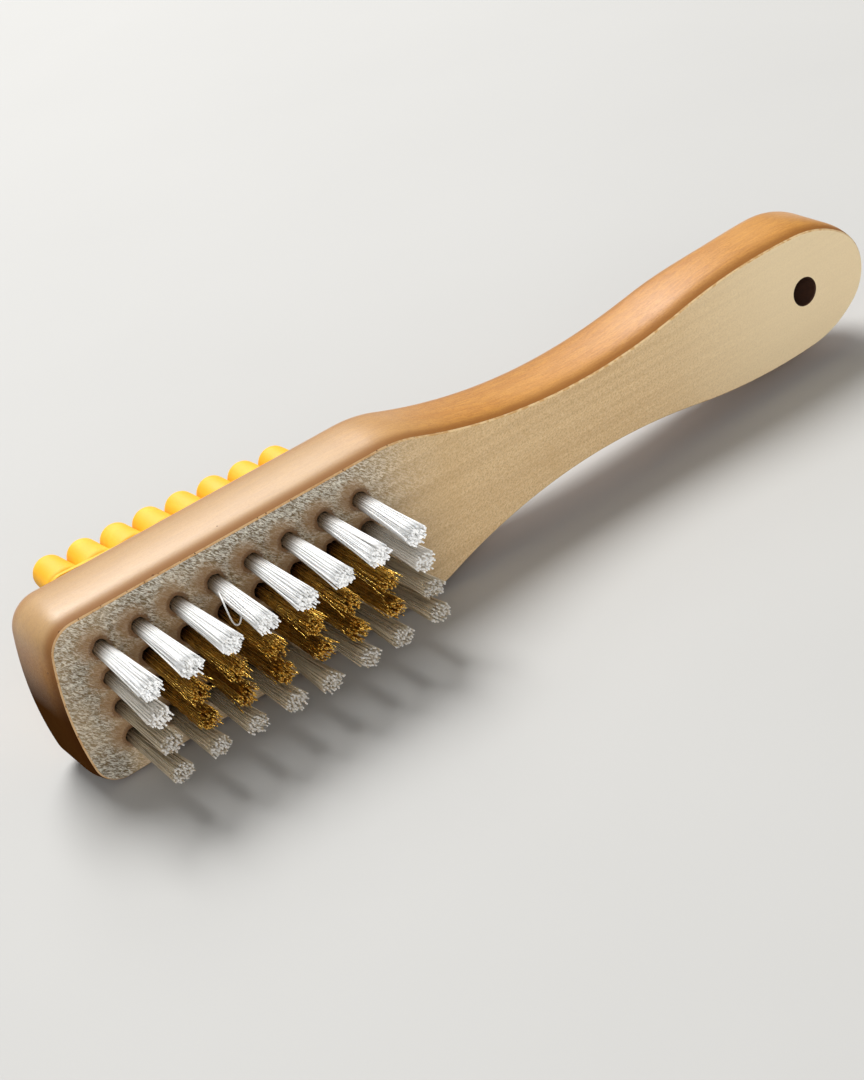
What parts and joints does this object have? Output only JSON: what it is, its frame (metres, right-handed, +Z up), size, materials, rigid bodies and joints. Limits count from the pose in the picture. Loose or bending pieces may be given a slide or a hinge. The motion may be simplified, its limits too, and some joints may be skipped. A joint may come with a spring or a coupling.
{
  "type": "suede brush",
  "caption": "Wooden-handled suede brush with straight nylon and brass wire tufts in the face of its head, a nubbed rubber pad on the back and a hanging hole in the grip.",
  "frame": {"origin": "under the middle of the bounding box, on the surface that the brush stands on with its lower long edge, as in the picture", "axes": "+X runs along the brush from the head end to the grip end, the bristles point to -Y, the rubber nubs to +Y, and +Z is up across the brush's width"},
  "size_m": [0.1938, 0.0464, 0.0353],
  "materials": {
    "wood": "satin",
    "rubber": "matte",
    "nylon": "satin",
    "brass": "satin",
    "steel": "satin"
  },
  "bodies": {
    "root": {"handle": "wood", "rubber_pad": "rubber", "tuft_anchors": "steel", "nylon_tuft_1_1": "nylon", "nylon_tuft_1_2": "nylon", "nylon_tuft_1_3": "nylon", "nylon_tuft_1_4": "nylon", "nylon_tuft_1_5": "nylon", "nylon_tuft_1_6": "nylon", "nylon_tuft_1_7": "nylon", "nylon_tuft_1_8": "nylon", "nylon_tuft_2_1": "nylon", "nylon_tuft_2_8": "nylon", "nylon_tuft_3_1": "nylon", "nylon_tuft_3_8": "nylon", "nylon_tuft_4_1": "nylon", "nylon_tuft_4_2": "nylon", "nylon_tuft_4_3": "nylon", "nylon_tuft_4_4": "nylon", "nylon_tuft_4_5": "nylon", "nylon_tuft_4_6": "nylon", "nylon_tuft_4_7": "nylon", "nylon_tuft_4_8": "nylon", "brass_tuft_2_2": "brass", "brass_tuft_2_3": "brass", "brass_tuft_2_4": "brass", "brass_tuft_2_5": "brass", "brass_tuft_2_6": "brass", "brass_tuft_2_7": "brass", "brass_tuft_3_2": "brass", "brass_tuft_3_3": "brass", "brass_tuft_3_4": "brass", "brass_tuft_3_5": "brass", "brass_tuft_3_6": "brass", "brass_tuft_3_7": "brass"}
  },
  "joints": []
}
